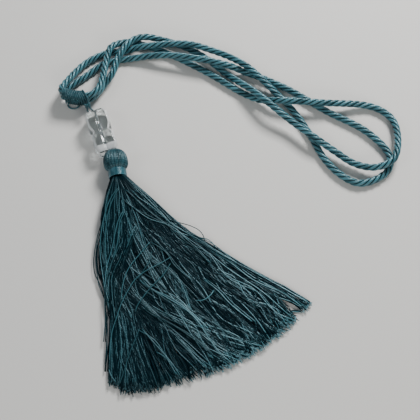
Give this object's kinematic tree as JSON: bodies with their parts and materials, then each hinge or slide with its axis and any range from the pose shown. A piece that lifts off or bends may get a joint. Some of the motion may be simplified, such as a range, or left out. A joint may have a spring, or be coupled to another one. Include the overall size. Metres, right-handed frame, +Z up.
{
  "type": "curtain tieback tassel",
  "caption": "Curtain tieback: a long twisted rope loop pinched by a wound binding, with a clear double bead and a long thread tassel hanging from it, laid out flat.",
  "frame": {"origin": "on the surface it lies on, below the middle of the box of everything but the two rope bights", "axes": "+Z up from the surface; the tassel's skirt points along -Y and +X, the rope bights lead away along +X"},
  "size_m": [0.3302, 0.3643, 0.0235],
  "materials": {
    "rope_rayon": "satin, twisted yarn",
    "binding_cord": "satin, fine cord wound side by side",
    "hanging_cord": "satin, fine twisted cord",
    "clear_acrylic": "clear, polished",
    "tassel_thread": "satin, twisted thread",
    "band_thread": "glossy satin, wound thread"
  },
  "bodies": {
    "root": {"left_bight_rope": "rope_rayon", "right_bight_rope": "rope_rayon", "binding": "binding_cord", "hanging_cord": "hanging_cord", "bead": "clear_acrylic", "tassel": "tassel_thread", "neck_band": "band_thread"}
  },
  "joints": []
}
